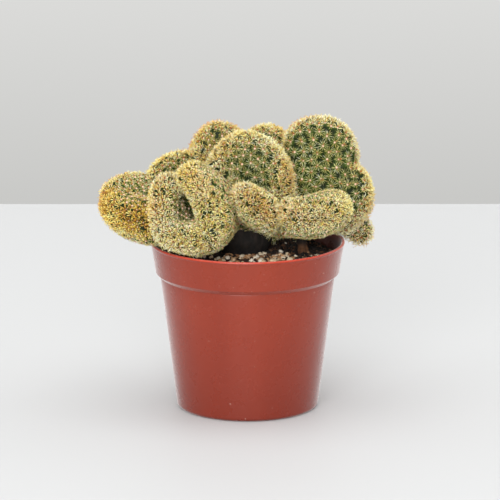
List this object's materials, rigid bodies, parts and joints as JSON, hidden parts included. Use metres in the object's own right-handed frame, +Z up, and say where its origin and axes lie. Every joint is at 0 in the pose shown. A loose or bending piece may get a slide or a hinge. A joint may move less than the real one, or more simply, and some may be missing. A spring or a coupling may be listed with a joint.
{
  "type": "potted brain cactus",
  "caption": "Crested brain cactus with folded, spine-covered ridges, growing in soil in a round plastic nursery pot.",
  "frame": {"origin": "on the supporting surface, under the middle of the pot", "axes": "+Z up along the pot's axis; -Y towards the side seen in the picture; +X to the right in it"},
  "size_m": [0.1267, 0.1006, 0.13],
  "materials": {
    "pot": "satin moulded polypropylene in terracotta red",
    "soil": null,
    "crest": null
  },
  "bodies": {
    "root": {"pot": "pot", "soil": "soil", "crest": "crest"}
  },
  "joints": []
}
